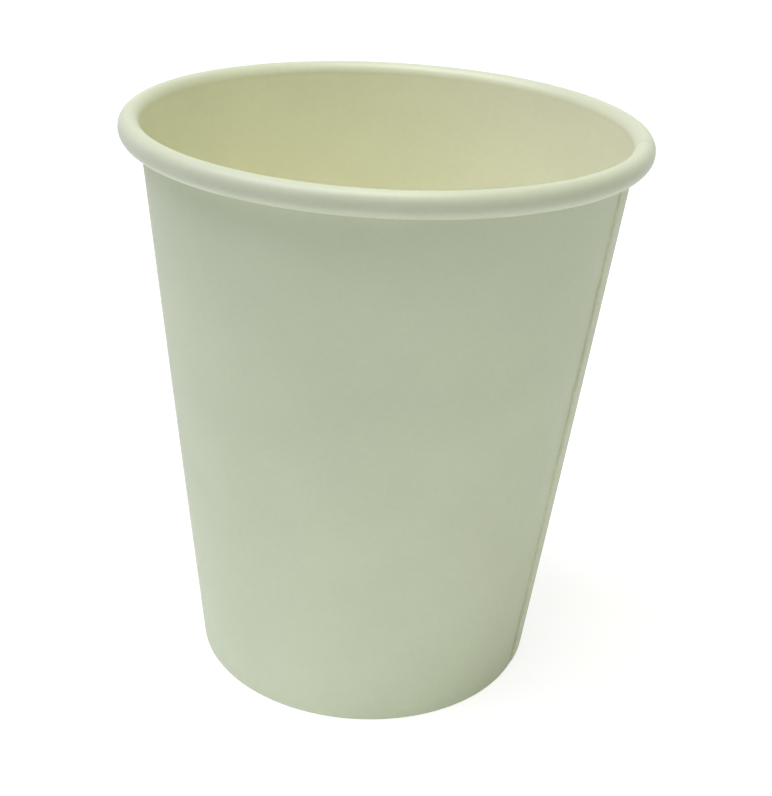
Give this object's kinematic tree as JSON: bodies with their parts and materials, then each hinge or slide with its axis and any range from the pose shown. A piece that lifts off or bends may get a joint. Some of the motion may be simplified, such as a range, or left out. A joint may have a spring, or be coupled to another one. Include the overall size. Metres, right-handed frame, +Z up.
{
  "type": "paper coffee cup",
  "caption": "Single-wall paper cup: a tapered wall with a lap seam, a rolled rim and a hemmed foot, and a recessed base disc.",
  "frame": {"origin": "centre of the foot ring, on the table", "axes": "+Z up along the cup's axis; the outer layer of the side seam starts at azimuth -23.7 degrees, counted from +X towards +Y"},
  "size_m": [0.08, 0.08, 0.091],
  "materials": {
    "wall_board": "satin off-white paperboard with a thin film inside",
    "base_board": "satin off-white paperboard with a thin film on top"
  },
  "bodies": {
    "root": {"side_wall": "wall_board", "base_disc": "base_board"}
  },
  "joints": []
}
